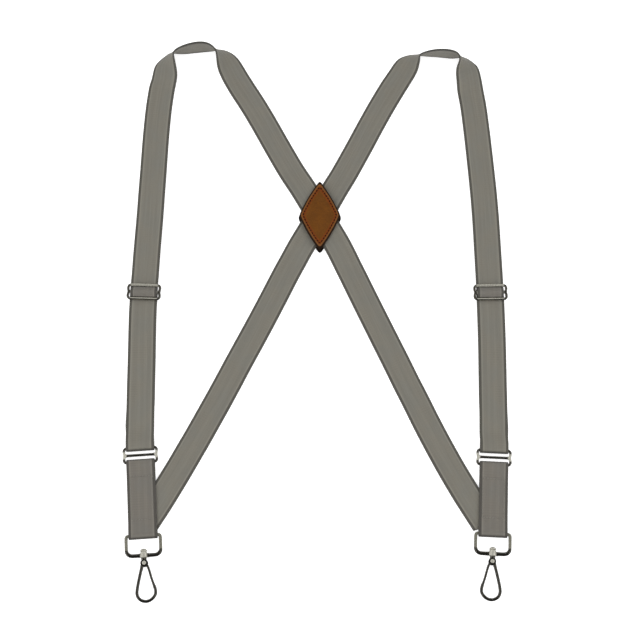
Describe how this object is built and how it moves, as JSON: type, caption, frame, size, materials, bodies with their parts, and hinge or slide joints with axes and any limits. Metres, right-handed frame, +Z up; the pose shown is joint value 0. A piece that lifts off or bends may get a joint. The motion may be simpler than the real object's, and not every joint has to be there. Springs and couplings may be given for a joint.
{
  "type": "suspenders",
  "caption": "Hook-end suspenders laid flat: X-back webbing straps, leather cross patch, sliding tri-glide adjusters, D-rings with swivel snap hooks.",
  "frame": {"origin": "centre of the laid-flat footprint, on the surface it lies on", "axes": "+Y from the hooks to the shoulders, +X to the right seen from above with the outer face up, +Z up off the surface"},
  "size_m": [0.347, 0.535, 0.0249],
  "materials": {
    "webbing": "woven grey-taupe webbing, matt",
    "leather": "brown leather, satin, burnished edge",
    "leather_backing": "dark leather backing, burnished edge",
    "nickel": "polished nickel plate, slightly warm",
    "thread_brown": "waxed brown thread",
    "thread_grey": "grey sewing thread"
  },
  "bodies": {
    "straps": {"strap_left": "webbing", "strap_right": "webbing", "strap_return_left": "webbing", "strap_return_right": "webbing", "slider_lower_left": "nickel", "slider_lower_right": "nickel", "hip_strap_left": "webbing", "hip_strap_right": "webbing", "hip_seam_left": "thread_grey", "hip_seam_right": "thread_grey", "patch_back": "leather_backing", "patch_front": "leather", "patch_seam": "thread_brown"},
    "adjuster_left": {"slider_upper_left": "nickel", "strap_hump_left": "webbing"},
    "ring_left": {"d_ring_left": "nickel"},
    "hook_left": {"hook_left": "nickel", "swivel_stem_left": "nickel", "gate_pin_left": "nickel", "gate_spring_left": "nickel"},
    "gate_left": {"gate_left": "nickel"},
    "adjuster_right": {"slider_upper_right": "nickel", "strap_hump_right": "webbing"},
    "ring_right": {"d_ring_right": "nickel"},
    "hook_right": {"hook_right": "nickel", "swivel_stem_right": "nickel", "gate_pin_right": "nickel", "gate_spring_right": "nickel"},
    "gate_right": {"gate_right": "nickel"}
  },
  "joints": [
    {"name": "adjuster_slide_left", "type": "slide", "parent": "straps", "child": "adjuster_left", "axis": [0.0349, 0.9994, 0], "range_m": [-0.06, 0.09]},
    {"name": "ring_pivot_left", "type": "hinge", "parent": "straps", "child": "ring_left", "pos_m": [-0.15031, -0.20936, 0.0032], "axis": [-0.9976, -0.0698, 0], "range_deg": [-110, 110]},
    {"name": "hook_swivel_left", "type": "hinge", "parent": "ring_left", "child": "hook_left", "pos_m": [-0.14908, -0.22692, 0.0032], "axis": [-0.0697, 0.9967, 0.0419], "continuous": true},
    {"name": "gate_hinge_left", "type": "hinge", "parent": "hook_left", "child": "gate_left", "pos_m": [-0.14842, -0.23348, 0.00292], "axis": [-0.0029, 0.0418, -0.9991], "range_deg": [0, 20], "stiffness_Nm_per_rad": 0.02, "springref_deg": -20.05},
    {"name": "adjuster_slide_right", "type": "slide", "parent": "straps", "child": "adjuster_right", "axis": [-0.0157, 0.9999, 0], "range_m": [-0.06, 0.09]},
    {"name": "ring_pivot_right", "type": "hinge", "parent": "straps", "child": "ring_right", "pos_m": [0.15209, -0.20786, 0.0032], "axis": [-0.9988, 0.0499, 0], "range_deg": [-110, 110]},
    {"name": "hook_swivel_right", "type": "hinge", "parent": "ring_right", "child": "hook_right", "pos_m": [0.15121, -0.22544, 0.0032], "axis": [0.0499, 0.9979, 0.0419], "continuous": true},
    {"name": "gate_hinge_right", "type": "hinge", "parent": "hook_right", "child": "gate_right", "pos_m": [0.15068, -0.23201, 0.00292], "axis": [-0.0021, -0.0418, 0.9991], "range_deg": [0, 20], "stiffness_Nm_per_rad": 0.02, "springref_deg": -20.05}
  ]
}
